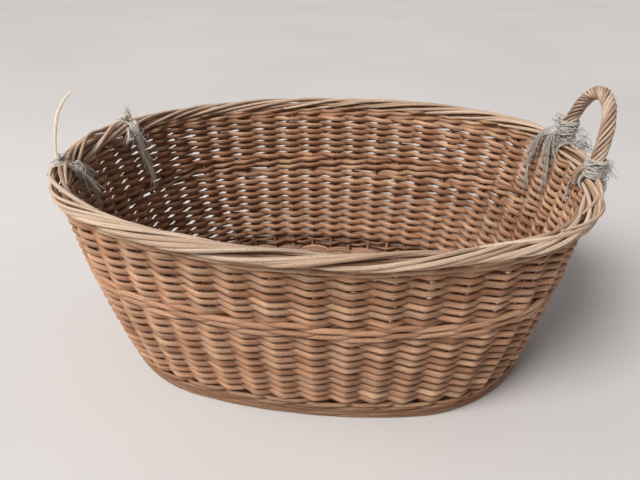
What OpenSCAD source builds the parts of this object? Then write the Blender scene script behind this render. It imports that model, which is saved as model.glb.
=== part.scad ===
// Oval willow basket with a rolled border, one roped bow handle and twine lashings.
// Origin: centre of the footprint on the floor. +Z up, +X towards the end with the handle.

/* [Basket body] */
// Half length of the border's centre line
rim_half_length = 320; // [310:1:330]
// Half width of the border's centre line
rim_half_width = 263; // [258:1:268]
// Height of the border's centre line
rim_height = 243.5; // [243:0.5:246]
// Half length of the foot, outside the strands
foot_half_length = 273; // [270:1:276]
// Half width of the foot, outside the strands
foot_half_width = 199; // [196:1:200]
// Outward bulge of the wall, as a share of its flare
wall_bulge = 0.06; // [0:0.01:0.1]

/* [Stakes and strands] */
// Diameter of a stake
stake_d = 5.8; // [5:0.1:6]
// Thickness of a siding strand, in to out
strand_d = 5.3; // [4.5:0.1:5.5]
// Thickness of a foot wale strand
foot_wale_d = 5; // [4:0.1:5]
// Free play between a strand and a stake
play = 1; // [1:0.1:1.4]

/* [Border] */
// Diameter of a border rod
border_rod_d = 5.6; // [5:0.1:5.7]
// Stake spacings that one border rod covers
border_reach = 4.4; // [4.2:0.1:4.5]

/* [Handle] */
// Diameter of the bow rod
bow_d = 9; // [8:0.5:9]
// Diameter of a rod wrapped around the bow
wrap_d = 3.3; // [3:0.1:3.4]
// Height of the bow above its roots
bow_rise = 74; // [68:1:82]

/* [Twine] */
// Diameter of the lashing twine
twine_d = 3; // [2.5:0.1:3.1]
// Diameter of a hanging tail
tail_d = 3; // [2.5:0.1:3.2]

/* [Hidden] */
// An outline is [half length, half width, end radius, side radius, corner radius].
RIM = [rim_half_length, rim_half_width, 301, 446, 164];
FOOT = [foot_half_length, foot_half_width, 192, 620, 122];

// Heights of the rows above the floor. Counts of stakes divide by 2, 3 and 4.
STAKES = 48;
FOOT_Z = [2.5, 7.9, 13.3, 18.7, 24.1];
LOWER_Z = [for (i = [0:9]) 34.6 + 11.1 * i];
MID_Z = [143.3, 149.5, 155.7];
UPPER_Z = [for (i = [0:6]) 163.8 + 9.85 * i];
TOP_Z = [229.7, 233];
LOWER_TALL = 5.1;
MID_TALL = 5.7;
UPPER_TALL = 4.4;
TOP_TALL = 3;
PLAIN_FOOT_ROWS = 3;    // these lie outside the stakes, below their bend

WEAVE = strand_d / 2 + 1.06 * (stake_d / 2 + play);
STAKE_INSET = strand_d / 2 + WEAVE;

// Border section: the rods wind on an ellipse around its centre line
BORDER_INSET = 4;
BORDER_OUT = 8.9;
BORDER_UP = 6;
WIND_START = -70;       // below the outer face
WIND_TURN = 270;        // over the top and down the inner face

// Base
LOWER_COURSE_Z = 0.8;
STICK_Z = 9.5;
UPPER_COURSE_Z = 13.8;
COURSE_TALL = 4.4;
COURSE_WIDE = 7;
COURSES = 17;
COURSE_FIRST = 0.0634;  // size of the innermost course, as a share of the foot
COURSE_STEP = 0.0483;   // growth from each course to the next, as a share of the foot
EDGE_STEP = 0.75;       // to the edge course, in steps of a course
CROSS_STICK_D = 8;
LONG_STICK_D = 5.2;
STICK_EDGE = 26;        // from the foot's outside to a stick's end
CROSS_STEP = 43;
LONG_STEP = 24;
SLOT_PLAY = 0.7;        // between a long stick and the slot that it passes through

// Handle roots on the border, and the places round it where the legs go down
ROOT_FRONT = [314, -31];
ROOT_BACK = [305, 86];
ROOT_Z = 255;
LEG_FRONT = -0.0168;
LEG_BACK = 0.0465;
LEG = [[12, 259], [19, 255], [21, 248], [21.5, 241]];   // inset from the border's line, and height
BOW_LEAN = 16;
BOW_POWER = 0.92;       // 1 is a half ellipse, less is squarer
WRAPS = 9;
WRAP_TURNS = 2.8;
WRAP_GAP = 0.9;
LASHING_TURNS = 6;
LASHING_Z = 264;
LASHING_GAP = 2;

// Places of the two old knots on the border, as a share of the way round
KNOT_BACK = 0.452;
KNOT_FRONT = 0.549;

// Hanging twine tails: hand-set routes, from the knot or lashing down
TAIL_LEFT_BACK = [[-289, 84, 255], [-286, 83, 254], [-284, 82, 248], [-283, 81, 238],
    [-282, 80, 227], [-281, 80, 215], [-278, 80, 203], [-274, 80, 191], [-270, 80, 180]];
TAIL_LEFT_FRONT = [[-289, -84, 255], [-286, -82, 254], [-283, -80, 248], [-282, -77, 238],
    [-281, -74, 227], [-280, -71, 216], [-279, -68, 206]];
TAIL_RIGHT_LONG = [[294, 88, 261], [288, 93, 260], [282, 99, 255], [277, 103, 245],
    [274, 105, 233], [271, 105, 221], [270, 103, 210], [270, 100, 200]];
TAIL_RIGHT_SHORT = [[293, 81, 264], [289, 78, 261], [287, 75, 252], [287, 72, 241],
    [287, 69, 230], [287, 66, 219], [286, 63, 209]];
TAIL_RIGHT_OUTER = [[304, 100, 264], [306, 106, 266], [309, 113, 266], [312, 119, 261],
    [314, 122, 252], [314, 122, 241], [313, 121, 230]];

// The split rod that stands up from the left end
SPLIT_ROD = [[-313, -86, 248], [-311, -86, 262], [-309, -86, 276], [-306, -86, 290], [-302, -86, 303],
    [-297, -86, 315], [-290, -85, 326], [-282, -84, 335], [-272, -83, 342]];
SPLIT_WIDE = 4;
SPLIT_THICK = 1.2;

SIDES = ["right", "back", "left", "front"];
function two_digits(i) = str(i < 10 ? "0" : "", i);
function names(stem, n) = [for (i = [1:n]) str(stem, two_digits(i))];

BASE_COLOR = "#a98a68";
SIDING_COLOR = "#c29c74";
WALE_COLOR = "#b98e66";
STAKE_COLOR = "#9c7a58";
BORDER_COLOR = "#d6c3a5";
TWINE_COLOR = "#b3aca3";

// ---- outlines ----

function unit(v) = v / norm(v);
function mix(a, b, t) = a * (1 - t) + b * t;
function share(z) = let (v = z / rim_height) v + 4 * wall_bulge * v * (1 - v);
function outline(z) = mix(FOOT, RIM, share(z));

// Centre of the corner arc, which touches the end arc and the side arc from inside
function corner(o) =
    let (e = [o[0] - o[2], 0], s = [0, o[1] - o[3]], a = o[2] - o[4], b = o[3] - o[4],
        l = norm(s - e), along = (a * a - b * b + l * l) / (2 * l), n = (s - e) / l)
    e + along * n + sqrt(max(0, a * a - along * along)) * [-n[1], n[0]];
function end_turn(o) = let (c = corner(o)) atan2(c[1], c[0] - o[0] + o[2]);
function side_turn(o) = let (c = corner(o)) atan2(c[1] - o[1] + o[3], c[0]);

// Point and normal in the first quarter, at a share r of its length from the end of the oval
function quarter(o, r) =
    let (c = corner(o), f = end_turn(o), g = side_turn(o), deg = 180 / PI,
        a = o[2] * f / deg, b = o[4] * (g - f) / deg, s = r * (a + b + o[3] * (90 - g) / deg),
        t = s < a ? s / o[2] * deg : s < a + b ? f + (s - a) / o[4] * deg : g + (s - a - b) / o[3] * deg,
        n = [cos(t), sin(t)])
    s < a ? [[o[0] - o[2], 0] + o[2] * n, n]
    : s < a + b ? [c + o[4] * n, n]
    : [[0, o[1] - o[3]] + o[3] * n, n];

// Point and normal at a share u of the way round, anticlockwise from +X
function around(o, u) =
    let (w = 4 * (u - floor(u)), q = floor(w), r = w - q, p = quarter(o, q % 2 == 1 ? 1 - r : r),
        mx = q == 1 || q == 2 ? -1 : 1, my = q >= 2 ? -1 : 1)
    [[p[0][0] * mx, p[0][1] * my], [p[1][0] * mx, p[1][1] * my]];
function inward(p, d) = p[0] - d * p[1];
function at_height(xy, z) = [xy[0], xy[1], z];
function wall_point(u, z, d) = at_height(inward(around(outline(z), u), d), z);
function stake_share(k) = (k + 0.5) / STAKES;

// ---- swept rods ----

function tangent(path, i) = unit(path[min(i + 1, len(path) - 1)] - path[max(i - 1, 0)]);

// A closed tube along a path. Its section is an ellipse, wide across the reference direction.
module rod(path, wide, thick, sides, ref) {
    n = len(path);
    points = [for (i = [0:n - 1]) let (t = tangent(path, i), u = unit(cross(ref, t)), v = cross(t, u))
        for (k = [0:sides - 1])
            path[i] + wide / 2 * cos(360 * k / sides) * u + thick / 2 * sin(360 * k / sides) * v];
    skin = [for (i = [0:n - 2]) for (k = [0:sides - 1]) let (m = (k + 1) % sides)
        [i * sides + k, (i + 1) * sides + k, (i + 1) * sides + m, i * sides + m]];
    ends = [[for (k = [0:sides - 1]) k], [for (k = [sides - 1:-1:0]) (n - 1) * sides + k]];
    polyhedron(points = points, faces = concat(skin, ends));
}

// ---- base ----

function half_chord_y(x) =
    let (o = FOOT - [1, 1, 1, 1, 1] * STICK_EDGE, c = corner(o))
    x < c[0] + o[4] * cos(side_turn(o)) ? o[1] - o[3] + sqrt(o[3] * o[3] - x * x)
    : sqrt(o[2] * o[2] - pow(x - o[0] + o[2], 2));
function half_chord_x(y) = let (r = FOOT[2] - STICK_EDGE) FOOT[0] - FOOT[2] + sqrt(r * r - y * y);

module base_stick(d, half) {
    cylinder(d = d, h = 2 * half, center = true, $fn = 36);
}

module base_cross_sticks() {
    color(BASE_COLOR)
        difference() {
            for (i = [-4:4])
                translate([i * CROSS_STEP, 0, STICK_Z])
                    rotate([90, 0, 0])
                        base_stick(CROSS_STICK_D, half_chord_y(abs(i) * CROSS_STEP));
            for (j = [-1:1])
                translate([0, j * LONG_STEP, STICK_Z])
                    cube([9 * CROSS_STEP, LONG_STICK_D + SLOT_PLAY, LONG_STICK_D + SLOT_PLAY], center = true);
        }
}

module base_long_sticks() {
    color(BASE_COLOR)
        for (j = [-1:1])
            translate([0, j * LONG_STEP, STICK_Z])
                rotate([0, 90, 0])
                    base_stick(LONG_STICK_D, half_chord_x(j * LONG_STEP));
}

module course_outline(o, d) {
    polygon([for (i = [0:39]) inward(around(o, i / 40), d)]);
}

module base_course(i, z) {
    o = FOOT * (COURSE_FIRST + COURSE_STEP * i);
    translate([0, 0, z])
        linear_extrude(height = COURSE_TALL)
            difference() {
                course_outline(o, -COURSE_WIDE / 2);
                course_outline(o, COURSE_WIDE / 2);
            }
}

module base_weave(z) {
    color(BASE_COLOR)
        for (i = [0:COURSES - 1])
            base_course(i, z);
}

// A course above the sticks, one below them, and an outer one that fills the edge below the stakes
module base_finish_row() {
    color(BASE_COLOR) {
        base_course(COURSES, LOWER_COURSE_Z);
        base_course(COURSES, UPPER_COURSE_Z);
        base_course(COURSES + EDGE_STEP, LOWER_COURSE_Z);
    }
}

// ---- wall rows ----

// A closed strand that passes each stake at its own inset from the wall's outer face
module strand(z, thick, tall, insets) {
    places = [for (k = [0:STAKES - 1]) around(outline(z), stake_share(k))];
    translate([0, 0, z - tall / 2])
        linear_extrude(height = tall)
            difference() {
                polygon([for (k = [0:STAKES - 1]) inward(places[k], insets[k] - thick / 2)]);
                polygon([for (k = [0:STAKES - 1]) inward(places[k], insets[k] + thick / 2)]);
            }
}

// Inside one stake in every few, outside the others
function woven(every, first) =
    [for (k = [0:STAKES - 1]) STAKE_INSET + ((k + first) % every == 0 ? WEAVE : -WEAVE)];
function outside() = [for (k = [0:STAKES - 1]) STAKE_INSET - WEAVE];

module foot_wale(i) {
    color(WALE_COLOR)
        strand(FOOT_Z[i], foot_wale_d, foot_wale_d, i < PLAIN_FOOT_ROWS ? outside() : woven(3, i));
}

// Two strands woven in turn, so that one is outside wherever the other is inside
module siding_row(z, tall, i) {
    for (s = [0, 1])
        color(SIDING_COLOR)
            strand(z + (2 * s - 1) * (tall + 0.3) / 2, strand_d, tall, woven(2, i + s));
}

module wale(z, tall, i) {
    color(WALE_COLOR)
        strand(z, strand_d, tall, woven(3, i));
}

// ---- stakes and border ----

function side_stakes(side) = [for (k = [0:STAKES / 4 - 1]) k + (side - 0.5) * STAKES / 4];

module stake(k) {
    u = stake_share(k);
    n = around(FOOT, u)[1];
    wall = [for (z = [14, 45, 105, 170, TOP_Z[1] + TOP_TALL / 2]) wall_point(u, z, STAKE_INSET)];
    rod(concat([wall_point(u, STICK_Z, 23), wall_point(u, STICK_Z + 0.4, 13)], wall),
        stake_d, stake_d, 6, [-n[1], n[0], 0]);
}

module stakes(side) {
    color(STAKE_COLOR)
        for (k = side_stakes(side))
            stake(k);
}

// A border rod comes out below its stake's top, winds over the border and ends on the inner face
module border_rod(k) {
    path = [for (i = [0:8])
        let (t = i / 8, wind = WIND_START + WIND_TURN * t, u = stake_share(k) + border_reach * t / STAKES,
            xy = inward(around(RIM, u), BORDER_INSET - BORDER_OUT * cos(wind)))
        at_height(xy, rim_height + BORDER_UP * sin(wind))];
    rod(path, border_rod_d, border_rod_d, 6, [0, 0, 1]);
}

module border_rods(side) {
    color(BORDER_COLOR)
        for (k = side_stakes(side))
            border_rod(k);
}

// ---- handle ----

// A point on the bow, t from 0 at the front root to 1 at the back root
function bow_point(t) =
    let (c = cos(180 * t), s = pow(sin(180 * t), BOW_POWER),
        across = (1 - sign(c) * pow(abs(c), BOW_POWER)) / 2)
    at_height(mix(ROOT_FRONT, ROOT_BACK, across) + [BOW_LEAN * s, 0], ROOT_Z + 4 + (bow_rise - 4) * s);

// From a root the bow rod goes in over the border and down the inner face of the wall
function bow_leg(u) = [for (s = LEG) at_height(inward(around(RIM, u), s[0]), s[1])];
function reversed(v) = [for (i = [len(v) - 1:-1:0]) v[i]];

module handle_bow() {
    color(BORDER_COLOR)
        rod(concat(reversed(bow_leg(LEG_FRONT)), [for (i = [0:16]) bow_point(i / 16)], bow_leg(LEG_BACK)),
            bow_d, bow_d, 8, [1, 0, 0]);
}

module wrap_rod(k) {
    reach = bow_d / 2 + WRAP_GAP + wrap_d / 2;
    path = [for (i = [0:28])
        let (t = 0.06 + 0.88 * i / 28, p = bow_point(t), d = unit(bow_point(t + 0.02) - bow_point(t - 0.02)),
            u = unit(cross([1, 0, 0], d)), w = 360 * (WRAP_TURNS * i / 28 + k / WRAPS))
        p + reach * (cos(w) * u + sin(w) * cross(d, u))];
    rod(path, wrap_d, wrap_d, 5, [1, 0, 0]);
}

module handle_wrap_rods() {
    color(BORDER_COLOR)
        for (k = [0:WRAPS - 1])
            wrap_rod(k);
}

// ---- twine ----

// A turn of twine over the border, open below where it goes into the weave
module border_turn(u) {
    p = around(RIM, u);
    translate(at_height(inward(p, BORDER_INSET), rim_height))
        rotate([0, 0, atan2(p[1][1], p[1][0])])
            rotate([90, 0, 0])
                rotate([0, 0, -30])
                    rotate_extrude(angle = 240, $fn = 64)
                        translate([BORDER_OUT + border_rod_d / 2 + twine_d / 2 + 0.4, 0])
                            circle(d = twine_d, $fn = 36);
}

// Turns of twine around a leg of the handle and over the border on both sides of it
module lashing(root, u) {
    color(TWINE_COLOR) {
        for (i = [0:LASHING_TURNS - 1])
            translate([root[0] + 3, root[1], LASHING_Z + i * (twine_d + 0.2)])
                rotate_extrude($fn = 64)
                    translate([bow_d / 2 + wrap_d + LASHING_GAP + twine_d / 2, 0])
                        circle(d = twine_d, $fn = 36);
        for (s = [-1, 1])
            for (i = [0:1])
                border_turn(u + s * (0.0078 + 0.0019 * i));
    }
}

module knot(u) {
    p = around(RIM, u);
    color(TWINE_COLOR) {
        for (i = [-1:1])
            border_turn(u + 0.0019 * i);
        translate(at_height(inward(p, BORDER_INSET), rim_height + BORDER_OUT + border_rod_d / 2 + 8))
            sphere(d = 10, $fn = 36);
    }
}

module tail(path, ref) {
    color(TWINE_COLOR)
        rod(path, tail_d, tail_d, 8, ref);
}

module split_rod() {
    color(BORDER_COLOR)
        rod(SPLIT_ROD, SPLIT_WIDE, SPLIT_THICK, 8, [0, 1, 0]);
}

// ---- assembly ----

base_cross_sticks();
base_long_sticks();
base_weave(LOWER_COURSE_Z);  // base_weave_lower
base_weave(UPPER_COURSE_Z);  // base_weave_upper
base_finish_row();
for (i = [0:4])
    foot_wale(i);
for (i = [0:9])
    siding_row(LOWER_Z[i], LOWER_TALL, i);
for (i = [0:2])
    wale(MID_Z[i], MID_TALL, i);
for (i = [0:6])
    siding_row(UPPER_Z[i], UPPER_TALL, i);
for (i = [0:1])
    wale(TOP_Z[i], TOP_TALL, i);
for (i = [0:3])
    stakes(i);
for (i = [0:3])
    border_rods(i);
handle_bow();
handle_wrap_rods();
lashing(ROOT_FRONT, LEG_FRONT);  // lashing_front
lashing(ROOT_BACK, LEG_BACK);  // lashing_back
knot(KNOT_BACK);  // knot_left_back
knot(KNOT_FRONT);  // knot_left_front
tail(TAIL_LEFT_BACK, [0, 1, 0]);  // tail_left_back
tail(TAIL_LEFT_FRONT, [0, 1, 0]);  // tail_left_front
tail(TAIL_RIGHT_LONG, [0, 1, 0]);  // tail_right_long
tail(TAIL_RIGHT_SHORT, [0, 1, 0]);  // tail_right_short
tail(TAIL_RIGHT_OUTER, [1, 0, 0]);  // tail_right_outer
split_rod();
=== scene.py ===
import bpy
import math
import numpy as np
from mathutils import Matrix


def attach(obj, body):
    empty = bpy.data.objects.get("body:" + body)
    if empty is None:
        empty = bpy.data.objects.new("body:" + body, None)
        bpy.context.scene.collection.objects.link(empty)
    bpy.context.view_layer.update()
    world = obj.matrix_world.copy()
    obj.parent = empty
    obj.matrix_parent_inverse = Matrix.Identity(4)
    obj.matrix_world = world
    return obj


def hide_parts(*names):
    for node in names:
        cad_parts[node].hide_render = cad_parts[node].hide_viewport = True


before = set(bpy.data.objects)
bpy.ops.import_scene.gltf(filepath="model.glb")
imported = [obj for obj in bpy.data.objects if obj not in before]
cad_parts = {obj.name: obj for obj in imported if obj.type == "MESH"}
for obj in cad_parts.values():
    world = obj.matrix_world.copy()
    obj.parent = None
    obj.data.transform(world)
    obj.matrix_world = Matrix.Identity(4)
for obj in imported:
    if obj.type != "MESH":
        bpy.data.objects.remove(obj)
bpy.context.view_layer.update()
MM = 0.001
TAU = 2 * math.pi
UP = np.array([0.0, 0.0, 1.0])
rng = np.random.default_rng(71)

# ---------------------------------------------------------------- basket shape, in mm

STAKES = 48
RIM = np.array([320.0, 263, 301, 446, 164])      # half length, half width, end, side and corner radii
FOOT = np.array([273.0, 199, 192, 620, 122])     # the same at the floor
RIM_Z = 243.5                                    # middle of the border's roll
BULGE = 0.06                                     # how far the side bows outwards, as a share of its flare
WARP = 3.2                                       # the border's rise and fall, twice round
STAKE_R = 2.9
STAKE_INSET = 9.4                                # from the outer face to a stake's axis
STRAND_R = 2.5
SLACK = 0.8
WEAVE = STAKE_R + STRAND_R + SLACK               # from a stake's axis to a strand's axis
SAG = 0.5                                        # an outer strand lies this much lower at a stake
SNUG = 0.17                                      # strands are this much taller at the tightest part
SNUG_AT = 0.215                                  # share of the way round where they are: the back
BORDER_INSET = 4.0                               # from the outer face to the middle of the border's roll


def unit(v):
    """Vectors along the last axis, made one long."""
    v = np.asarray(v, float)
    return v / np.linalg.norm(v, axis=-1, keepdims=True)


def outline(z):
    """The wall's half length, half width and radii at heights z, one column a height."""
    v = np.asarray(z, float) / RIM_Z
    t = v + 4 * BULGE * v * (1 - v)
    return FOOT[:, None] * (1 - t) + RIM[:, None] * t


def around(o, u):
    """Points and outward normals at shares u of the way round, anticlockwise from +X."""
    u = np.asarray(u, float)
    a, b, re, rs, rc = [np.broadcast_to(x, u.shape) for x in o]
    w = 4 * (u - np.floor(u))
    q = np.floor(w).astype(int) % 4
    r = w - np.floor(w)
    r = np.where(q % 2 == 1, 1 - r, r)
    ex, sy = a - re, b - rs
    p, s = re - rc, rs - rc
    l = np.hypot(ex, sy)
    nx, ny = -ex / l, sy / l
    along = (p * p - s * s + l * l) / (2 * l)
    h = np.sqrt(np.maximum(0, p * p - along * along))
    cx, cy = ex + along * nx - h * ny, along * ny + h * nx
    f, g = np.arctan2(cy, cx - ex), np.arctan2(cy - sy, cx)
    la, lb, lc = re * f, rc * (g - f), rs * (math.pi / 2 - g)
    d = r * (la + lb + lc)
    t = np.where(d < la, d / re, np.where(d < la + lb, f + (d - la) / rc, g + (d - la - lb) / rs))
    c, k = np.cos(t), np.sin(t)
    x = np.where(d < la, ex + re * c, np.where(d < la + lb, cx + rc * c, rs * c))
    y = np.where(d < la, re * k, np.where(d < la + lb, cy + rc * k, sy + rs * k))
    mx = np.where((q == 1) | (q == 2), -1, 1)
    my = np.where(q >= 2, -1, 1)
    return np.stack([x * mx, y * my], -1), np.stack([c * mx, k * my], -1)


def on_wall(u, z, inset):
    """Points in the wall: share of the way round, height, and distance inside the outer face."""
    u, z, inset = np.broadcast_arrays(*(np.asarray(a, float) for a in (u, z, inset)))
    p, n = around(outline(z.ravel()), u.ravel())
    xy = p - inset.ravel()[:, None] * n
    lift = WARP * np.sin(2 * TAU * u.ravel()) * np.clip(z.ravel() / RIM_Z, 0, 1.1) ** 2
    return np.column_stack([xy, z.ravel() + lift])


def rim_at(u):
    """A point of the rim's outline, with its outward normal, as vectors in space."""
    p, n = around(outline([RIM_Z]), np.array([u]))
    return np.array([*p[0], RIM_Z]), np.array([*n[0], 0.0])


def run_of(line):
    """How far along a line each of its points is."""
    return np.concatenate([[0], np.cumsum(np.linalg.norm(np.diff(line, axis=0), axis=1))])


def square_to(t, way):
    """Two directions square to t and to each other, the first also square to way."""
    u = unit(np.cross(t, way))
    return u, np.cross(t, u)


def wound(line, sides, radius, angle):
    """A line wound round another, whose two square directions are given."""
    u, v = sides
    radius, angle = np.broadcast_arrays(radius, angle)
    return line + radius[:, None] * (np.cos(angle)[:, None] * u + np.sin(angle)[:, None] * v)


def waves(u, count, size):
    """Smooth closed noise round the basket, of count waves."""
    out = np.zeros_like(u)
    for k in range(1, count + 1):
        out += rng.normal() / math.sqrt(k) * np.sin(TAU * (k * u + rng.random()))
    return out * size


# ---------------------------------------------------------------- rods as meshes

GRAIN_RANGE = 4000          # a rod's grain starts anywhere in this length
TIP_BULGE = 0.35            # how far a rounded end stands out, in radii


class Rods:
    """Collects swept rods into one mesh, with attributes for their grain and tint."""

    def __init__(self):
        self.v, self.f, self.grain, self.tint = [], [], [], []
        self.n = 0

    def add(self, path, radius, tint, closed=False, sides=8, up=None, tall=1.0, round_ends=True):
        """Sweeps one rod. up keeps its section level, and tall stretches it that way."""
        path = np.asarray(path, float)
        n = len(path)
        radius = np.broadcast_to(np.asarray(radius, float), (n,))
        tall = np.broadcast_to(np.asarray(tall, float), (n,))
        if closed:
            t = np.roll(path, -1, 0) - np.roll(path, 1, 0)
        else:
            t = np.gradient(path, axis=0)
        t = unit(t)
        if up is not None:
            u = unit(np.cross(t, up))
        else:
            u = np.empty((n, 3))
            u[0] = unit(np.cross(t[0], UP if abs(t[0][2]) < 0.9 else [1.0, 0, 0]))
            for i in range(1, n):
                u[i] = unit(u[i - 1] - t[i] * np.dot(u[i - 1], t[i]))
        v = np.cross(u, t)
        ang = np.arange(sides) / sides * TAU
        ring = (path[:, None] + radius[:, None, None] * (np.cos(ang)[None, :, None] * u[:, None]
                + (tall[:, None, None] * np.sin(ang)[None, :, None]) * v[:, None]))
        grain = np.empty((n, sides, 3))
        grain[..., 0] = (run_of(path) + rng.random() * GRAIN_RANGE)[:, None] * MM
        grain[..., 1] = np.cos(ang)[None]
        grain[..., 2] = np.sin(ang)[None]
        tint = np.asarray(tint, float)
        tint = np.broadcast_to(tint if tint.ndim == 2 else tint[None], (n, 3))
        base = self.n
        self.v.append(ring.reshape(-1, 3))
        self.grain.append(grain.reshape(-1, 3))
        self.tint.append(np.repeat(tint, sides, 0))
        self.n += n * sides
        i = np.arange(n if closed else n - 1)
        j = (i + 1) % n
        k = np.arange(sides)
        m = (k + 1) % sides
        quads = np.stack([base + i[:, None] * sides + k, base + i[:, None] * sides + m,
                          base + j[:, None] * sides + m, base + j[:, None] * sides + k], -1)
        self.f.extend(quads.reshape(-1, 4).tolist())
        if not closed:
            for row, out in ((0, -1), (n - 1, 1)):
                cut = tint[row] * [1, 1, 0] + [0, 0, 1]
                tip = path[row] + out * t[row] * radius[row] * (TIP_BULGE if round_ends else 0)
                self.v.append(np.vstack([ring[row], tip[None]]))
                self.grain.append(np.vstack([grain[row], grain[row][:1] * [1, 0, 0]]))
                self.tint.append(np.repeat(cut[None], sides + 1, 0))
                for a, b in zip(k, m):
                    tri = [self.n + b, self.n + a, self.n + sides]
                    self.f.append(tri[::-out])
                self.n += sides + 1

    def make(self, name, material, nodes):
        """The piece: all rods so far, riding the body in place of the CAD nodes."""
        me = bpy.data.meshes.new(name)
        verts = np.vstack(self.v) * MM
        me.from_pydata(verts.tolist(), [], self.f)
        me.polygons.foreach_set("use_smooth", np.ones(len(me.polygons), bool))
        for label, data in (("grain", self.grain), ("tint", self.tint)):
            layer = me.attributes.new(label, "FLOAT_VECTOR", "POINT")
            layer.data.foreach_set("vector", np.vstack(data).ravel())
        me.materials.append(material)
        me.update()
        ob = bpy.data.objects.new(name, me)
        bpy.context.scene.collection.objects.link(ob)
        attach(ob, "root")
        if nodes:
            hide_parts(*nodes)
        return ob


def smooth(points, per):
    """A Catmull-Rom curve through points, with per samples a span."""
    p = np.asarray(points, float)
    p = np.vstack([2 * p[0] - p[1], p, 2 * p[-1] - p[-2]])
    t = np.arange(per)[:, None] / per
    out = []
    for i in range(1, len(p) - 2):
        a, b, c, d = p[i - 1], p[i], p[i + 1], p[i + 2]
        square = (2 * a - 5 * b + 4 * c - d) * t ** 2
        cube = (3 * b - a - 3 * c + d) * t ** 3
        out.append(0.5 * (2 * b + (c - a) * t + square + cube))
    return np.vstack(out + [p[-2][None]])


# ---------------------------------------------------------------- materials

class Shader:
    """Builds the nodes of one material."""

    def __init__(self, name):
        self.mat = bpy.data.materials.new(name)
        self.mat.use_nodes = True
        self.tree = self.mat.node_tree
        self.tree.nodes.clear()

    def node(self, kind, inputs=None, **sets):
        """A node with some of its inputs linked or set, and its other settings."""
        n = self.tree.nodes.new(kind)
        for key, value in sets.items():
            setattr(n, key, value)
        for key, value in (inputs or {}).items():
            self.feed(n.inputs[key], value)
        return n

    def feed(self, socket, value):
        if isinstance(value, bpy.types.NodeSocket):
            self.tree.links.new(value, socket)
        else:
            socket.default_value = value

    def ramp(self, fac, stops):
        r = self.node("ShaderNodeValToRGB", {0: fac})
        els = r.color_ramp.elements
        while len(els) < len(stops):
            els.new(0.5)
        for e, (at, colour) in zip(els, stops):
            e.position = at
            e.color = (*colour, 1)
        return r.outputs[0]

    def mix(self, fac, a, b, blend="MIX"):
        if isinstance(b, tuple):
            b = (*b, 1)
        return self.node("ShaderNodeMix", {0: fac, 6: a, 7: b}, data_type="RGBA", blend_type=blend).outputs[2]

    def times(self, a, b):
        return self.node("ShaderNodeMath", {0: a, 1: b}, operation="MULTIPLY").outputs[0]

    def spread(self, value, low, high):
        """A value from 0 to 1, stretched over another range."""
        return self.node("ShaderNodeMapRange", {"Value": value, "To Min": low, "To Max": high}).outputs[0]

    def tints(self):
        """A rod's three values: its place in the tones, its brightness, and 1 on its cut ends."""
        tint = self.node("ShaderNodeAttribute", attribute_name="tint")
        return self.node("ShaderNodeSeparateXYZ", {0: tint.outputs["Vector"]}).outputs

    def grain_noise(self, along, across, detail, rough=0.55):
        """Noise that follows the rod, by its scale along and across it."""
        grain = self.node("ShaderNodeAttribute", attribute_name="grain")
        place = self.node("ShaderNodeMapping",
                          {"Vector": grain.outputs["Vector"], "Scale": (along, across, across)})
        return self.node("ShaderNodeTexNoise", {"Vector": place.outputs[0], "Scale": 1.0,
                                                "Detail": detail, "Roughness": rough}).outputs["Fac"]

    def bumps(self, height, strength, distance):
        inputs = {"Height": height, "Strength": strength, "Distance": distance}
        return self.node("ShaderNodeBump", inputs).outputs[0]

    def finish(self, **skin):
        """Closes the material with a skin, whose inputs are named with _ for each space."""
        inputs = {key.replace("_", " "): value for key, value in skin.items()}
        surface = self.node("ShaderNodeBsdfPrincipled", inputs)
        self.node("ShaderNodeOutputMaterial", {0: surface.outputs[0]})
        return self.mat


BARK_STAIN = (0.27, 0.155, 0.09)
FLECK = (0.16, 0.09, 0.05)
PITH = (0.66, 0.55, 0.41)


def willow(name, tones, dirt, rough=0.62, bump=0.35):
    """Stripped willow: long streaks, small dark flecks, and a tint that changes from rod to rod."""
    s = Shader(name)
    tone, bright, cut = s.tints()
    streak = s.grain_noise(14, 2.6, 4)
    patch = s.grain_noise(9, 0.5, 3)
    fleck = s.grain_noise(260, 2.2, 2)
    fine = s.grain_noise(90, 7.0, 3)
    shade = s.ramp(streak, [(0.3, (0.56, 0.48, 0.43)), (0.48, (0.95, 0.93, 0.91)), (0.7, (1.2, 1.18, 1.15))])
    colour = s.mix(0.9, s.ramp(tone, tones), shade, "MULTIPLY")
    stain = s.ramp(patch, [(0.5, (0, 0, 0)), (0.72, (1, 1, 1))])
    colour = s.mix(s.times(stain, dirt), colour, BARK_STAIN)
    speck = s.ramp(fleck, [(0.59, (0, 0, 0)), (0.67, (1, 1, 1))])
    colour = s.mix(s.times(speck, 0.55), colour, FLECK)
    # level is the rod's brightness, which on woven strands also holds painted highlight at the stakes and
    # painted shade at the crossings
    level = s.spread(bright, 0.72, 1.16)
    grey = s.node("ShaderNodeCombineXYZ", {0: level, 1: level, 2: level}).outputs[0]
    colour = s.mix(1.0, colour, grey, "MULTIPLY")
    colour = s.mix(s.times(cut, 0.7), colour, PITH)
    height = s.node("ShaderNodeMath", {0: streak, 1: fine}, operation="ADD").outputs[0]
    return s.finish(Base_Color=colour, Roughness=s.spread(fine, rough - 0.12, rough + 0.16),
                    Specular_IOR_Level=0.3, Normal=s.bumps(height, bump, 0.0006))


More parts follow.
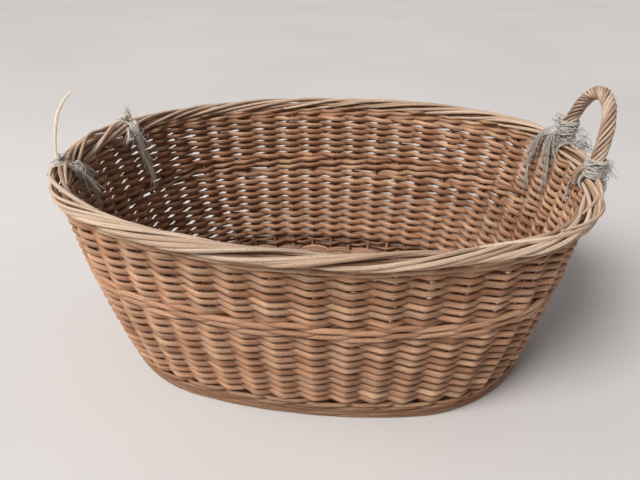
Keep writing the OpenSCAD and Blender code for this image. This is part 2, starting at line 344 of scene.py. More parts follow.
def twine_material(name, light):
    """Grey laid twine: fine slanting strands, dusty and hairy."""
    s = Shader(name)
    tones = ((0.3, 0.275, 0.245), (0.49, 0.455, 0.415), (0.7, 0.67, 0.62))
    tone = s.ramp(s.tints()[0], [(at, [light * c for c in tint]) for at, tint in zip((0.0, 0.5, 1.0), tones)])
    lay = s.grain_noise(420, 2, 4, 0.5)
    shade = s.ramp(lay, [(0.3, (0.62, 0.61, 0.6)), (0.7, (1.15, 1.14, 1.12))])
    return s.finish(Base_Color=s.mix(1.0, tone, shade, "MULTIPLY"), Roughness=0.9, Specular_IOR_Level=0.15,
                    Sheen_Weight=0.25, Normal=s.bumps(lay, 0.6, 0.0008))


BODY_TONES = [(0.0, (0.31, 0.15, 0.082)), (0.3, (0.415, 0.225, 0.133)),
              (0.65, (0.49, 0.292, 0.182)), (1.0, (0.58, 0.395, 0.262))]
FOOT_TONES = [(at, (0.6 * r, 0.55 * g, 0.51 * b)) for at, (r, g, b) in BODY_TONES]     # darker than the body's tones
PALE_TONES = [(0.0, (0.365, 0.23, 0.158)), (0.4, (0.46, 0.315, 0.22)), (1.0, (0.67, 0.525, 0.41))]
SIDING = willow("willow_siding", BODY_TONES, 0.4)
WALES = willow("willow_wale", BODY_TONES, 0.5)
FOOT_WALES = willow("willow_foot", FOOT_TONES, 0.6)
STAKE = willow("willow_stake", [(0.0, (0.17, 0.085, 0.05)), (1.0, (0.34, 0.19, 0.12))], 0.6)
BASE = willow("willow_base", [(0.0, (0.31, 0.165, 0.1)), (1.0, (0.47, 0.29, 0.19))], 0.6, 0.75)
PALE = willow("willow_pale", PALE_TONES, 0.3, 0.58, 0.45)
SPLIT = willow("willow_split", [(0.0, (0.6, 0.5, 0.38)), (1.0, (0.78, 0.69, 0.56))], 0.1, 0.5, 0.3)
TWINE = twine_material("twine", 0.89)
# The left end's twine: the same greys made paler, as painted light from the window's side
PAINTED_LIGHT_TWINE = twine_material("painted_light_twine", 1.3)


def body_tint(n):
    """Random tints for n rods."""
    return np.column_stack([rng.beta(2.2, 2.0, n), rng.beta(2.5, 2.5, n), np.zeros(n)])


# ---------------------------------------------------------------- camera

AZ, EL, DIST, ROLL = math.radians(8.38), math.radians(27.92), 0.815, math.radians(-0.156)
TARGET = np.array([-0.0058, 0.0, 0.126])
back = np.array([math.sin(AZ) * math.cos(EL), -math.cos(AZ) * math.cos(EL), math.sin(EL)])
camera = bpy.data.objects.new("camera", bpy.data.cameras.new("camera"))
camera.data.sensor_width = 36
camera.data.lens = 33.75
camera.data.clip_start = 0.02
camera.location = TARGET + back * DIST
camera.rotation_euler = (math.pi / 2 - EL, 0, AZ)
camera.rotation_euler.rotate_axis("Z", ROLL)
bpy.context.scene.collection.objects.link(camera)
bpy.context.scene.camera = camera

# ---------------------------------------------------------------- hanging twine tails

PLY_R = 0.78
PLY_REACH = 0.72            # from the tail's line to a ply's
PLY_TWIST = 9.75            # length of one turn
TAILS = {
    "tail_left_back": [[-289, 84, 255], [-286, 83, 254], [-284, 82, 248], [-283, 81, 238],
                       [-282, 80, 227], [-281, 80, 215], [-278, 80, 203], [-274, 80, 191], [-270, 80, 180]],
    "tail_left_front": [[-289, -84, 255], [-286, -82, 254], [-283, -80, 248], [-282, -77, 238],
                        [-281, -74, 227], [-280, -71, 216], [-279, -68, 206]],
    "tail_right_long": [[294, 88, 261], [288, 93, 260], [282, 99, 255], [277, 103, 245],
                        [274, 105, 233], [271, 105, 221], [270, 103, 210], [270, 100, 200]],
    "tail_right_short": [[293, 81, 264], [289, 78, 261], [287, 75, 252], [287, 72, 241],
                         [287, 69, 230], [287, 66, 219], [286, 63, 209]],
    "tail_right_outer": [[304, 100, 264], [306, 106, 266], [309, 113, 266], [312, 119, 261],
                         [314, 122, 252], [314, 122, 241], [313, 121, 230]],
}


LEANING = [0.3, 0.2, 0.93]      # a direction that a loop's axis is seldom near


def fibres(rods, centre, count, reach, droop, thick=0.35, spread=1.0, aim=(0, 0, 0)):
    """Loose curling fibres out of one place."""
    for _ in range(count):
        d = rng.normal(size=3) * spread + np.asarray(aim, float)
        d /= np.linalg.norm(d) + 1e-6
        side = np.cross(d, rng.normal(size=3))
        side /= np.linalg.norm(side) + 1e-6
        length = reach * (0.45 + 0.9 * rng.random())
        curl = (rng.random() - 0.3) * 1.6
        start = np.asarray(centre, float) + rng.normal(size=3) * 1.5
        t = np.linspace(0, 1, 9)[:, None]
        path = start + d * length * t + (side * length * curl * 0.5 - UP * droop) * t * t
        path += np.cumsum(rng.normal(size=(9, 3)) * 0.35, 0)
        rods.add(path, thick * (0.7 + 0.6 * rng.random()) * (1 - 0.55 * t[:, 0]),
                 [0.35 + 0.65 * rng.random(), 0.5, 0], sides=4, round_ends=False)


def threads(rods, line, count, spread, thick):
    """Loose threads side by side along a line, which part towards its end."""
    share = np.linspace(0, 1, len(line))[:, None]
    for _ in range(count):
        stop = int(len(line) * (0.6 + 0.4 * rng.random()))
        drift = rng.normal(size=3) * spread * [1, 1, 0.4] * (0.15 + share[:stop] ** 1.2)
        drift += np.cumsum(rng.normal(size=(stop, 3)) * 0.22, 0)
        tint = [0.4 + 0.5 * rng.random(), 0.5, 0]
        rods.add(line[:stop] + drift, thick * (1.1 - 0.6 * share[:stop, 0]), tint, sides=4)


def tangle(rods, centre, count, size, thick=0.4):
    """Fine open loops, tangled together."""
    for _ in range(count):
        a, b = square_to(unit(rng.normal(size=3)), LEANING)
        w = np.linspace(0, TAU * (0.5 + 0.6 * rng.random()), 22) + TAU * rng.random()
        r = size * (0.35 + 0.65 * rng.random()) * (1 + 0.25 * np.sin(2 * w + 6 * rng.random()))
        line = np.asarray(centre, float) + rng.normal(size=3) * size * 0.35
        line = line + r[:, None] * (np.cos(w)[:, None] * a + 0.7 * np.sin(w)[:, None] * b)
        rods.add(line, thick * (0.7 + 0.6 * rng.random()), [0.3 + 0.6 * rng.random(), 0.5, 0], sides=4)


def tail(name, route):
    """A three-ply twine along its route, with its end opened into fibres."""
    line = smooth(route, 5)
    rods = Rods()
    t = unit(np.gradient(line, axis=0))
    sides = square_to(t, [0.13, 0.9, 0.41])
    run = run_of(line)
    opening = np.clip(1 + (run / run[-1] - 0.6) / 0.4, 1, 1.25)
    for ply in range(3):
        path = wound(line, sides, PLY_REACH * opening, TAU * (run / PLY_TWIST + ply / 3))
        rods.add(path, PLY_R, [0.45 + 0.3 * rng.random(), 0.5, 0], sides=6)
    twine = PAINTED_LIGHT_TWINE if route[0][0] < 0 else TWINE      # the left end's is paler: painted light from the window's side
    piece = rods.make(name + "_twine", twine, [name])
    fray = Rods()
    for at in range(6, len(line), 3):
        fibres(fray, line[at], 3, 11, 5, 0.26, 0.7, t[at] * 1.2)
    fibres(fray, line[-1], 16, 16, 8, 0.32, 0.5, t[-1] * 1.6)
    threads(fray, line, 14, 5.5, 0.5)
    hair = fray.make(name + "_fray", twine, [])


for label, route in TAILS.items():
    tail(label, route)

# ---------------------------------------------------------------- woven rows

SAMPLES = 14                # per stake spacing
ROUND = np.arange(STAKES * SAMPLES) / SAMPLES       # all the way round, counted in stakes
SIDES = ["right", "back", "left", "front"]
LOWER_ROD = (2.8, 1.31, 1.65)       # radius, its stretch upwards, and rise and fall between stakes
UPPER_ROD = (2.6, 1.27, 1.45)
SHARP = 0.985                       # 1 would bend the strands to a corner at each stake
FOOT_DEPTH = 0.16                   # a foot row goes this share of the way in
CROSSING_PAINTED_SHADE = 0.28                   # painted shade: a crossing strand's tone is this much darker
LOWER_Z = [34.6 + 11.1 * i for i in range(10)]
MID_Z = [143.3, 149.5, 155.7]
UPPER_Z = [163.8 + 9.85 * i for i in range(7)]
TOP_Z = [229.7, 233.0]
FOOT_Z = [2.5, 7.9, 13.3, 18.7, 24.1]
stake_shift = rng.normal(size=STAKES) * 0.035
stake_drift = rng.normal(size=STAKES) * 0.045


def stake_share(k, z):
    """Share of the way round at which stake k stands at height z."""
    k = np.asarray(k)
    lean = (np.asarray(z) / RIM_Z - 0.5) * stake_drift[k % STAKES]
    return (k + 0.5 + stake_shift[k % STAKES] + lean) / STAKES


def share_at(s, z):
    """Share of the way round at places s, counted in stakes, so that each whole number is at a stake."""
    ks = np.arange(-1, STAKES + 2)
    at = stake_share(ks % STAKES, z) + (ks // STAKES)
    return np.interp(s, ks, at)


def lengths_of_rod(n, thick, shortest=8, longest=15):
    """Tint and radius along a strand that is made of rods laid in one after another."""
    tint = np.empty((n, 3))
    radius = np.empty(n)
    at = 0
    while at < n:
        size = int(rng.integers(shortest, longest)) * SAMPLES
        if n - at - size < shortest * SAMPLES:
            size = n - at
        tint[at:at + size] = body_tint(1)
        radius[at:at + size] = thick * np.linspace(1.07, 0.93, size)
        at += size
    return tint, radius


def strand(rods, z, radial, vertical, thick, wander=0.5, tall=1.0):
    """One strand all the way round. radial is 1 outside the stakes and -1 inside them."""
    u = share_at(ROUND, z)
    tint, radius = lengths_of_rod(len(ROUND), thick)
    shift = int(rng.integers(0, STAKES)) * SAMPLES
    tint, radius = np.roll(tint, shift, 0), np.roll(radius, shift)
    # Painted shade in the tone where the strand crosses between the stakes, and painted highlight and shade
    # in its brightness: higher where it bulges out or in at a stake, lower where it crosses.
    depth = np.abs(radial)
    tint[:, 0] = np.clip(tint[:, 0] - CROSSING_PAINTED_SHADE * (1 - depth), 0, 1)
    tint[:, 1] = np.clip(tint[:, 1] + 0.5 * (depth - 0.6), 0, 1)
    per_stake = rng.normal(size=STAKES) * 0.28
    dip = np.interp(ROUND, np.arange(STAKES + 1), np.append(per_stake, per_stake[0]))
    height = z + vertical + waves(u, 6, wander) + dip
    path = on_wall(u, height, STAKE_INSET - WEAVE * radial)
    tall = tall * (1 + SNUG * np.maximum(0, np.cos(TAU * (u - SNUG_AT))))
    lumps = 1 + 0.035 * np.sin(ROUND * 3.1 + rng.random() * 6) * np.sin(ROUND * 1.7 + rng.random() * 6)
    rods.add(path, radius * lumps, tint, closed=True, up=UP, tall=tall)


def plain_ring(rods, z, inset, thick, wander, sway=0):
    """A closed rod that isn't woven. wander and sway are the count and size of its waves up and inwards."""
    u = ROUND / STAKES
    tint, radius = lengths_of_rod(len(u), thick)
    height = z + waves(u, *wander)
    path = on_wall(u, height, inset + waves(u, *sway) if sway else inset)
    rods.add(path, radius, tint, closed=True, up=UP)


def pairing(rods, z, thick, tall, swing, wander=0.38):
    """Two strands that cross between the stakes, each nearly straight from stake to stake."""
    for first in (0, 1):
        turn = math.pi * (ROUND + first)
        radial = np.arcsin(SHARP * np.cos(turn)) / math.asin(SHARP)
        vertical = -swing * np.sin(turn) - SAG * radial
        strand(rods, z, radial, vertical, thick, wander, tall)


def soft(values, width):
    """Closed values, each averaged with its neighbours."""
    k = np.hanning(width)
    k /= k.sum()
    padded = np.concatenate([values[-width:], values, values[:width]])
    return np.convolve(padded, k, "same")[width:-width]


def waling(rods, z, thick, swing, first, outside_only=False, wander=0.4, tall=1.0):
    """A strand that goes outside two stakes and inside the third, and rises as it goes."""
    phase = (ROUND + first) % 3
    radial = np.interp(phase, [0, 1, 2, 3], [-1.0, 1.0, 1.0, -1.0])
    vertical = np.interp((phase - 0.5) % 3, [0, 2, 3], [-swing, swing, -swing])
    radial, vertical = soft(radial, 5), soft(vertical, 9)
    if outside_only:
        radial = 1 - (1 - radial) * FOOT_DEPTH
    strand(rods, z, radial, vertical, thick, wander, tall)


for i, z in enumerate(LOWER_Z):
    rods = Rods()
    pairing(rods, z, *LOWER_ROD)
    rods.make(f"lower_row_{i + 1:02d}_weave", SIDING, [f"lower_row_{i + 1:02d}"])
for i, z in enumerate(UPPER_Z):
    rods = Rods()
    pairing(rods, z, *UPPER_ROD)
    rods.make(f"upper_row_{i + 1:02d}_weave", SIDING, [f"upper_row_{i + 1:02d}"])
for i, z in enumerate(MID_Z):
    rods = Rods()
    waling(rods, z - 1.75, 2.8, 1.3, 2 * i, wander=0.3, tall=1.16)
    waling(rods, z + 1.95, 2.75, 1.3, 2 * i + 1, wander=0.3, tall=1.16)
    rods.make(f"mid_wale_{i + 1:02d}_weave", WALES, [f"mid_wale_{i + 1:02d}"])
for i, z in enumerate(TOP_Z):
    rods = Rods()
    waling(rods, z - 1.6, 2.4, 1.2, 2 * i, wander=0.3, tall=1.15)
    waling(rods, z + 1.2, 2.3, 1.2, 2 * i + 1, wander=0.3, tall=1.15)
    if i == 1:
        waling(rods, z + 3.9, 2.0, 1.0, 2, wander=0.3)
        waling(rods, z + 5.6, 2.0, 1.0, 0.5, wander=0.3)
    rods.make(f"top_wale_{i + 1:02d}_weave", WALES, [f"top_wale_{i + 1:02d}"])
for i, z in enumerate(FOOT_Z):
    rods = Rods()
    if i < 3:
        rise, swing = (0.95, 0.5) if i == 0 else (0.3, 1.3)      # the lowest lies level on the floor
        for lay in range(2):
            waling(rods, z + rise, 2.2, swing, i + 1.5 * lay, True, 0.1)
    else:
        waling(rods, z - 0.6, 2.3, 1.7, i)
        waling(rods, z + 0.9, 2.2, 1.7, i + 1.5)
    rods.make(f"foot_wale_{i + 1:02d}_weave", FOOT_WALES, [f"foot_wale_{i + 1:02d}"])

# ---------------------------------------------------------------- stakes

STAKE_FOOT = [(25, 9.5), (17, 9.7), (11.5, 11)]      # inset and height where a stake comes out of the base
STAKE_Z = [18, 40, 90, 145, 200, 232]


def side_stakes(side):
    """The stakes of one side, counted from the middle of the right end."""
    return [k + side * STAKES // 4 - STAKES // 8 for k in range(STAKES // 4)]


for side, label in enumerate(SIDES):
    rods = Rods()
    for k in side_stakes(side):
        inset, z = np.array(STAKE_FOOT + [(STAKE_INSET, h) for h in STAKE_Z]).T
        path = smooth(on_wall(stake_share(k, z), z, inset), 4)
        rods.add(path, np.linspace(STAKE_R + 0.2, STAKE_R - 0.1, len(path)), [rng.random(), rng.random(), 0])
    rods.make(f"stakes_{label}_rods", STAKE, [f"stakes_{label}"])

# ---------------------------------------------------------------- border

ROLL_WIDE, ROLL_TALL = 9.1, 6.3         # half sizes of the border's roll, at the rods' axes
BORDER_R = 2.38
BORDER_TAPER = ([0, 0.025, 0.07, 0.14, 0.8, 1], [0.3, 0.62, 0.88, 1.0, 0.93, 0.55])
STAKE_TOP = 236.0                       # height at which a stake bends over into the border
LOOSE_AT, LOOSE_REACH = 0.5, 0.085      # the border has come loose round the left end
# Rods that have sprung out: stake, first angle and turn about the roll, reach in stakes, and extra size.
# The first three are at the left end, and the rest cross the border by the handle.
SPRUNG_RODS = ((20, 35, 40, 5.5, 4.0), (22, -20, 75, 5, 3.5), (23, 60, 90, 4.5, 2.5),
               (46, -40, 130, -3.6, 1.6), (45, -20, 120, -4.2, 0.8), (44, 10, 130, -4.4, 0.2),
               (47, 0, 110, -3.0, 1.0), (43, -50, 150, 4.2, 1.4), (0, 20, 130, 3.4, 0.6))


def border_rod(rods, k, loose, first, turn, reach, grow=0.0):
    """One rod of the rolled border, from its tip on the lower outer face, over and down the inner face."""
    t = np.linspace(0, 1, 56)
    wind = np.radians(first + turn * t ** 1.04)
    proud = rng.normal() * 0.75
    wide = ROLL_WIDE + grow + proud + loose * rng.normal() * 3.0 * np.sin(math.pi * t)
    tall = ROLL_TALL + grow + proud + loose * abs(rng.normal()) * 4.5 * np.sin(math.pi * t)
    tuck = 2.0 * np.clip(1 - t / 0.06, 0, 1)
    inset = BORDER_INSET - wide * np.cos(wind) + tuck
    z = RIM_Z + tall * np.sin(wind) + 0.5 * np.sin(t * 8 + rng.random() * 6)
    path = on_wall(stake_share(k % STAKES, STAKE_TOP) + reach / STAKES * t, z, inset)
    r = (BORDER_R + rng.normal() * 0.24) * np.interp(t, *BORDER_TAPER)
    tint = [rng.beta(4, 1.7), rng.beta(3, 2.0), 0]
    rods.add(path, r * (1 + 0.03 * np.sin(t * 27 + k)), tint, sides=10)


def looseness(u):
    """How far the border has come undone: 1 at the old end, falling to 0 either side of it."""
    return float(np.clip(1 - abs((u - LOOSE_AT + 0.5) % 1 - 0.5) / LOOSE_REACH, 0, 1))


for side, label in enumerate(SIDES):
    rods = Rods()
    for k in side_stakes(side):
        loose = looseness((k + 3.5) / STAKES)       # at the middle of the rod's reach
        border_rod(rods, k, loose, -54 + 10 * rng.normal(), 282 + 18 * rng.normal(), 6.5 + 0.5 * rng.normal())
    rods.make(f"border_{label}_roll", PALE, [f"border_rods_{label}"])
rods = Rods()
for offset in (-3.2, 3.2):
    plain_ring(rods, RIM_Z - 1, BORDER_INSET + offset, 2.7, (9, 0.3), (9, 0.4))
rods.make("border_core_rods", STAKE, [])
rods = Rods()
for k, first, turn, reach, grow in SPRUNG_RODS:
    border_rod(rods, k, 0.3, first, turn, reach, grow)
rods.make("border_loose_rods", PALE, [])

# ---------------------------------------------------------------- handle

ROOT_FRONT, ROOT_BACK = np.array([314.0, -31]), np.array([305.0, 86])
BOW_FOOT, BOW_TOP = 259, 329        # heights of the bow's rod
BOW_LEAN, BOW_POWER = 16, 0.92      # how far its top leans outwards, and how square it is (1 is an ellipse)
BOW_R = 4.2
LEG_FRONT, LEG_BACK = -0.0168, 0.0465                       # shares of the way round
LEG = [(12, 259), (19, 255), (21, 248), (21.5, 241)]        # inset from the border's line, and height
WRAPS, WRAP_TURNS = 9, 2.8
WRAP_R, WRAP_REACH = 1.78, 6.2


def bow(t):
    """Points of the bow at shares t of it, from its front root to its back root."""
    c, s = np.cos(math.pi * t), np.sin(math.pi * t)
    s = np.abs(s) ** BOW_POWER
    across = ((1 - np.sign(c) * np.abs(c) ** BOW_POWER) / 2)[:, None]
    x, y = (ROOT_FRONT * (1 - across) + ROOT_BACK * across).T
    return np.column_stack([x + BOW_LEAN * s, y, BOW_FOOT + (BOW_TOP - BOW_FOOT) * s])


def bow_leg(u):
    """Points of the bow's leg that goes down inside the border at a share u."""
    rim, outwards = rim_at(u)
    return np.array([[*(rim - inset * outwards)[:2], z] for inset, z in LEG])


core = smooth(np.vstack([bow_leg(LEG_FRONT)[::-1], bow(np.linspace(0, 1, 17)), bow_leg(LEG_BACK)]), 3)
rods = Rods()
rods.add(core, BOW_R, [0.3, 0.1, 0], sides=12)
rods.make("handle_bow_rod", PALE, ["handle_bow"])
rods = Rods()
line = bow(np.linspace(0.02, 0.98, 120))
run = run_of(line)
sides = square_to(unit(np.gradient(line, axis=0)), [-1.0, 0, 0])
for k in range(WRAPS):
    angle = TAU * (run / run[-1] * WRAP_TURNS + k / WRAPS) + 0.14 * np.sin(run / 17 + k)
    path = wound(line, sides, WRAP_REACH + 0.25 * np.sin(run / 19 + 2.3 * k), angle)
    tint = [rng.beta(2.2, 2.0), rng.beta(2.0, 4.0), 0]
    rods.add(path, WRAP_R * (1 + 0.07 * np.sin(run / 11 + k * 1.7)), tint, sides=10)
rods.make("handle_roping", PALE, ["handle_wrap_rods"])

# ---------------------------------------------------------------- twine lashings and knots

LOOP_TWIST = 6.72           # one turn of the plies in a lashing's twine


def twine_loop(rods, centre, axis, ra, rb, turns=1.0, rise=0.0, thick=1.25, wobble=0.8):
    """Laid twine wound round an axis, as two plies."""
    axis = unit(axis)
    a, b = square_to(axis, LEANING if abs(axis[2]) < 0.8 else [1.0, 0.1, 0])
    n = int(40 * turns) + 2
    w = np.linspace(0, TAU * turns, n) + rng.random() * TAU
    q = rng.random(4) * TAU
    across = (ra + wobble * np.sin(2 * w + q[0])) * np.cos(w)
    deep = (rb + wobble * np.sin(3 * w + q[1])) * np.sin(w)
    ahead = rise * (np.linspace(0, 1, n) - 0.5) + wobble * np.sin(w + q[2])
    line = np.asarray(centre, float) + np.column_stack([across, deep, ahead]) @ np.array([a, b, axis])
    sides = square_to(unit(np.gradient(line, axis=0)), axis + 0.01)
    twist = TAU * run_of(line) / LOOP_TWIST
    tint = [0.35 + 0.5 * rng.random(), 0.5, 0]
    for ply in range(2):
        rods.add(wound(line, sides, thick * 0.45, twist + ply * math.pi), thick * 0.62, tint, sides=5)


# Loose threads as routes in mm, and tangles as place, count and size.
THREADS = {
    "lashing_back": [
        [[300, 90, 272], [290, 96, 266], [281, 104, 255], [275, 108, 238], [271, 106, 222], [269, 101, 208]],
        [[297, 86, 266], [288, 92, 256], [284, 93, 240], [286, 88, 222], [290, 72, 208]],
        [[300, 82, 266], [295, 80, 256], [293, 74, 243], [296, 62, 232], [297, 52, 226]]],
    "lashing_front": [
        [[307, -18, 252], [303, -12, 240], [299, -6, 226], [297, -8, 212], [294, -14, 200]]],
    "knot_left_back": [
        [[-293, 85, 256], [-295, 86, 266], [-299, 87, 277]],
        [[-290, 84, 250], [-285, 81, 234], [-279, 79, 212], [-272, 79, 190], [-264, 80, 170]],
        [[-294, 74, 246], [-290, 62, 238], [-290, 50, 226]]],
    "knot_left_front": [
        [[-296, -88, 250], [-288, -84, 240], [-283, -76, 228], [-280, -70, 214]],
        [[-298, -84, 250], [-293, -68, 244], [-288, -55, 232], [-285, -48, 222]]],
}
TANGLES = {
    "lashing_back": [((322, 62, 258), 26, 13), ((300, 100, 276), 10, 8), ((308, 104, 266), 8, 9)],
    "lashing_front": [((322, -40, 250), 14, 9), ((318, -22, 262), 10, 9)],
}


def lashing(name, node, root, u, foot):
    """Twine round the handle's leg from height foot up, round the border below it, and across both."""
    rods = Rods()
    leg = np.array([root[0] + 3, root[1], 270.0])
    for i in range(13):         # round the leg
        z = foot + i * 1.45 + rng.normal() * 0.5
        wide = 9.7 + 0.35 * max(0, 261 - z)
        twine_loop(rods, leg + [0.15 * (z - 262), 0, z - 270], [0.1 * rng.normal(), 0.12 * rng.normal(), 1],
                   wide + rng.random() * 1.3, wide + rng.random() * 1.3, 1.05, 1.6)
    for i in range(10):         # round the border
        rim, outwards = rim_at(u + (i - 4.5) * 0.0018 + rng.normal() * 0.001)
        side = np.cross(UP, outwards) + 0.4 * rng.normal() * UP
        twine_loop(rods, rim - BORDER_INSET * outwards + 0.5 * UP, side,
                   13.4 + rng.random() * 1.4, 11.6 + rng.random() * 1.6, 1.0, 2.0)
    for _ in range(8):          # slanting, round both
        twine_loop(rods, leg + [-1.5, 0, -13 + rng.normal() * 2], [rng.normal() * 0.4, rng.normal() * 0.5, 1],
                   12 + 2 * rng.random(), 10.5 + 2 * rng.random(), 1.0, 5)
    for _ in range(12):
        spot = leg + [0, 0, -8] + rng.uniform(-1, 1, 3) * [12, 12, 9]
        fibres(rods, spot, 7, 12, 2, 0.28, 1.0, (spot - leg) * 0.1)
        tangle(rods, spot, 2, 6.5, 0.34)
    for route in THREADS[node]:
        threads(rods, smooth(route, 6), 5, 1.2, 0.75)
    for spot, count, size in TANGLES[node]:
        tangle(rods, spot, count, size, 0.42)
    rods.make(name, TWINE, [node])


lashing("lashing_front_twine", "lashing_front", ROOT_FRONT, LEG_FRONT, 252)
lashing("lashing_back_twine", "lashing_back", ROOT_BACK, LEG_BACK, 262)


def knot(name, node, u, up):
    """Old twine round the border, its tones painted paler as painted light, knotted on top, with fluff inside
    and outside.
    """
    rods = Rods()
    rim, outwards = rim_at(u)
    c = rim - BORDER_INSET * outwards + WARP * math.sin(2 * TAU * u) * UP
    along = np.cross(UP, outwards)
    for i in range(8):
        twine_loop(rods, c + along * (i - 3.5) * 1.7, along + 0.3 * rng.normal() * UP,
                   12.6 + rng.random() * 1.6, 10.6 + rng.random() * 1.6, 1.0, 2.0)
    top = c + 16 * UP
    for _ in range(7):
        twine_loop(rods, top + rng.normal(size=3) * 1.0, rng.normal(size=3), 4.2, 3.4, 1.0, 1.0, 1.2, 0.5)
    fibres(rods, top, 16, 20, 2, 0.32, 0.8, (0, 0, up))
    inner = c - 15 * outwards
    fibres(rods, inner + 2 * UP, 34, 26, 16, 0.3, 0.6, -0.8 * outwards - UP)
    fibres(rods, c + 13 * outwards, 14, 9, 3, 0.28, 0.9, outwards)
    tangle(rods, c + 14 * outwards, 7, 5, 0.3)
    for route in THREADS[node]:
        threads(rods, smooth(route, 6), 12, 3.2, 0.55)
    tangle(rods, inner, 16, 9)
    tangle(rods, c + [-6, 0, 12], 8, 7)
    rods.make(name, PAINTED_LIGHT_TWINE, [node])


knot("knot_left_back_twine", "knot_left_back", 0.452, 1.2)
knot("knot_left_front_twine", "knot_left_front", 0.549, 0.2)

# ---------------------------------------------------------------- split rod

SPLIT_ROUTE = [[-313, -86, 248], [-311, -86, 262], [-309, -86, 276], [-306, -86, 290], [-302, -86, 303],
               [-297, -86, 315], [-290, -85, 326], [-282, -84, 335], [-272, -83, 342]]
SPLIT_R = ([0, 0.5, 0.8, 1], [1.5, 2.1, 1.7, 0.5])         # shares of its length, and half widths there
rods = Rods()
line = smooth(SPLIT_ROUTE, 8)
radius = np.interp(np.linspace(0, 1, len(line)), *SPLIT_R)
rods.add(line, radius, [1.0, 0.9, 0], sides=10, up=(0, 1, 0), tall=0.3)
rods.make("split_rod_strip", SPLIT, ["split_rod"])

# ---------------------------------------------------------------- base

CROSS_STEP, LONG_STEP, STICK_Z = 43, 24, 9.5
STICK_EDGE = 26                                         # from the foot's outline to the sticks' ends
CROSS_R, LONG_R, COURSE_R = 4.0, 2.6, 2.3
COURSES, COURSE_FIRST, COURSE_STEP = 17, 0.0634, 0.0483     # sizes as shares of the foot's outline
COURSE_SWING, COURSE_LOWEST = 6.3, 3.2


def chord_y(x):
    """Half the length of the cross stick at x."""
    e = FOOT[2] - STICK_EDGE
    o = FOOT - STICK_EDGE
    side = o[1] - o[3] + math.sqrt(o[3] ** 2 - x * x)
    end = math.sqrt(max(0.0, e * e - max(0.0, x - o[0] + o[2]) ** 2))
    return min(side, end) if x > o[0] - o[2] else side


def chord_x(y):
    """Half the length of the long stick at y."""
    r = FOOT[2] - STICK_EDGE
    return FOOT[0] - FOOT[2] + math.sqrt(r * r - y * y)


rods = Rods()
for i in range(-4, 5):
    y = chord_y(abs(i) * CROSS_STEP)
    ys = np.linspace(-y, y, 40)
    rods.add(np.column_stack([i * CROSS_STEP + 0.8 * np.sin(ys / 60 + i), ys, np.full(40, STICK_Z)]),
             CROSS_R * (1 + 0.05 * np.sin(ys / 31 + 2 * i)), [rng.random(), rng.random(), 0], sides=12)
rods.make("base_cross_rods", BASE, ["base_cross_sticks"])
rods = Rods()
for j in (-1, 0, 1):
    x = chord_x(j * LONG_STEP)
    xs = np.linspace(-x, x, 80)
    rods.add(np.column_stack([xs, j * LONG_STEP + 0.5 * np.sin(xs / 70 + j), np.full(80, STICK_Z)]),
             LONG_R * (1 + 0.05 * np.sin(xs / 27 + j)), [rng.random(), rng.random(), 0], sides=10)
rods.make("base_long_rods", BASE, ["base_long_sticks"])


def crossings(u, line):
    """The shares u at which a closed line crosses a base stick, in order."""
    x, y = line.T
    x2, y2 = np.roll(line, -1, 0).T
    past_cross = np.abs(x) > 4.3 * CROSS_STEP           # where it meets the long sticks instead
    hits = [(x - at) * (x2 - at) < 0 for at in np.arange(-4, 5) * CROSS_STEP]
    hits += [past_cross & ((y - at) * (y2 - at) < 0) for at in np.arange(-1, 2) * LONG_STEP + 0.01]
    return np.sort(np.concatenate([u[hit] for hit in hits]) + 0.5 / len(u))


def base_course(rods, f, flip):
    """A rod woven over and under the base sticks, all the way round."""
    n = 260
    u = np.arange(n) / n
    line, _ = around((FOOT * f)[:, None], u)
    cuts = crossings(u, line)
    at = np.concatenate([cuts - 1, cuts, cuts + 1])
    way = np.cos(math.pi * np.interp(u, at, np.arange(len(at))))
    height = COURSE_SWING * np.sign(way) * np.abs(way) ** 0.7
    z = STICK_Z + height * (1 if flip else -1) + 0.3 * rng.normal()
    tint = np.repeat(body_tint(4), n // 4, 0)
    rods.add(np.column_stack([line, np.maximum(z, COURSE_LOWEST)]), COURSE_R, tint,
             closed=True, sides=8, up=UP)


for parity, node in ((0, "base_weave_lower"), (1, "base_weave_upper")):
    rods = Rods()
    for i in range(parity, 2 * COURSES, 2):
        base_course(rods, COURSE_FIRST + COURSE_STEP * i / 2, i // 2 % 2 == parity)
    rods.make(node + "_rods", BASE, [node])
rods = Rods()
for i in range(4):
    base_course(rods, COURSE_FIRST + COURSE_STEP * (COURSES + i / 3), i % 2 == 0)
for inset in (14.6, 10.6, 6.9):         # below the stakes, between the base and the foot's rows
    plain_ring(rods, 3.3, inset, COURSE_R, (6, 0.2))
rods.make("base_finish_rods", BASE, ["base_finish_row"])

# ---------------------------------------------------------------- floor and light

FLOOR = 14          # half its size, in metres: it fills the view to the top


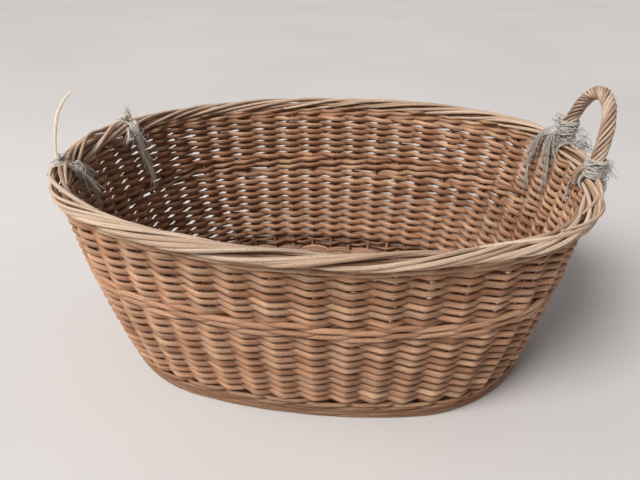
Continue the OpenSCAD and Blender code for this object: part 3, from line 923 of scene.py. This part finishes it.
def floor_material():
    """Smooth pale floor, faintly mottled."""
    s = Shader("floor")
    where = s.node("ShaderNodeNewGeometry").outputs["Position"]
    mottle = s.node("ShaderNodeTexNoise", {"Vector": where, "Scale": 1.3}).outputs["Fac"]
    tone = s.ramp(mottle, [(0.3, (0.59, 0.572, 0.563)), (0.7, (0.64, 0.622, 0.614))])
    return s.finish(Base_Color=tone, Roughness=0.45, Specular_IOR_Level=0.3)


me = bpy.data.meshes.new("floor")
corners = [(-FLOOR, -FLOOR, 0), (FLOOR, -FLOOR, 0), (FLOOR, FLOOR, 0), (-FLOOR, FLOOR, 0)]
me.from_pydata(corners, [], [(0, 1, 2, 3)])
me.materials.append(floor_material())
floor = bpy.data.objects.new("floor", me)
bpy.context.scene.collection.objects.link(floor)


def facing(way):
    """The rotation that turns a light to shine along a direction."""
    x, y, z = unit(way)
    return math.acos(-z), 0, math.atan2(y, x) - math.pi / 2


def light(name, kind, place, way, power, colour):
    """A light at a place, shining along a direction."""
    data = bpy.data.lights.new(name, kind)
    data.energy = power
    data.color = colour
    ob = bpy.data.objects.new(name, data)
    ob.location = place
    ob.rotation_euler = facing(way)
    bpy.context.scene.collection.objects.link(ob)
    return data


window = light("window", "AREA", (-1.7, -0.35, 1.35), (1.7, 0.35, -1.25), 8, (1.0, 0.985, 0.96))
window.shape = "DISK"
window.size = 0.9
# Soft light from high on the left, the same over the whole floor.
daylight = light("daylight", "SUN", (0, 0, 0), (0.42, 0.58, -0.8), 3.25, (1.0, 0.98, 0.955))
daylight.angle = math.radians(28)


def pale_room():
    """An even pale surround, a little brighter on the window's side."""
    world = bpy.data.worlds.new("world")
    bpy.context.scene.world = world
    world.use_nodes = True
    tree = world.node_tree
    way = tree.nodes.new("ShaderNodeTexCoord")
    split = tree.nodes.new("ShaderNodeSeparateXYZ")
    half = tree.nodes.new("ShaderNodeMapRange")
    tone = tree.nodes.new("ShaderNodeValToRGB")
    half.inputs["From Min"].default_value = -1
    tone.color_ramp.elements[0].color = (0.465, 0.451, 0.445, 1)
    tone.color_ramp.elements[1].color = (0.215, 0.204, 0.204, 1)
    tree.links.new(way.outputs["Generated"], split.inputs[0])
    tree.links.new(split.outputs[0], half.inputs["Value"])
    tree.links.new(half.outputs[0], tone.inputs[0])
    tree.links.new(tone.outputs[0], tree.nodes["Background"].inputs[0])


pale_room()
bpy.context.scene.view_settings.view_transform = "Standard"
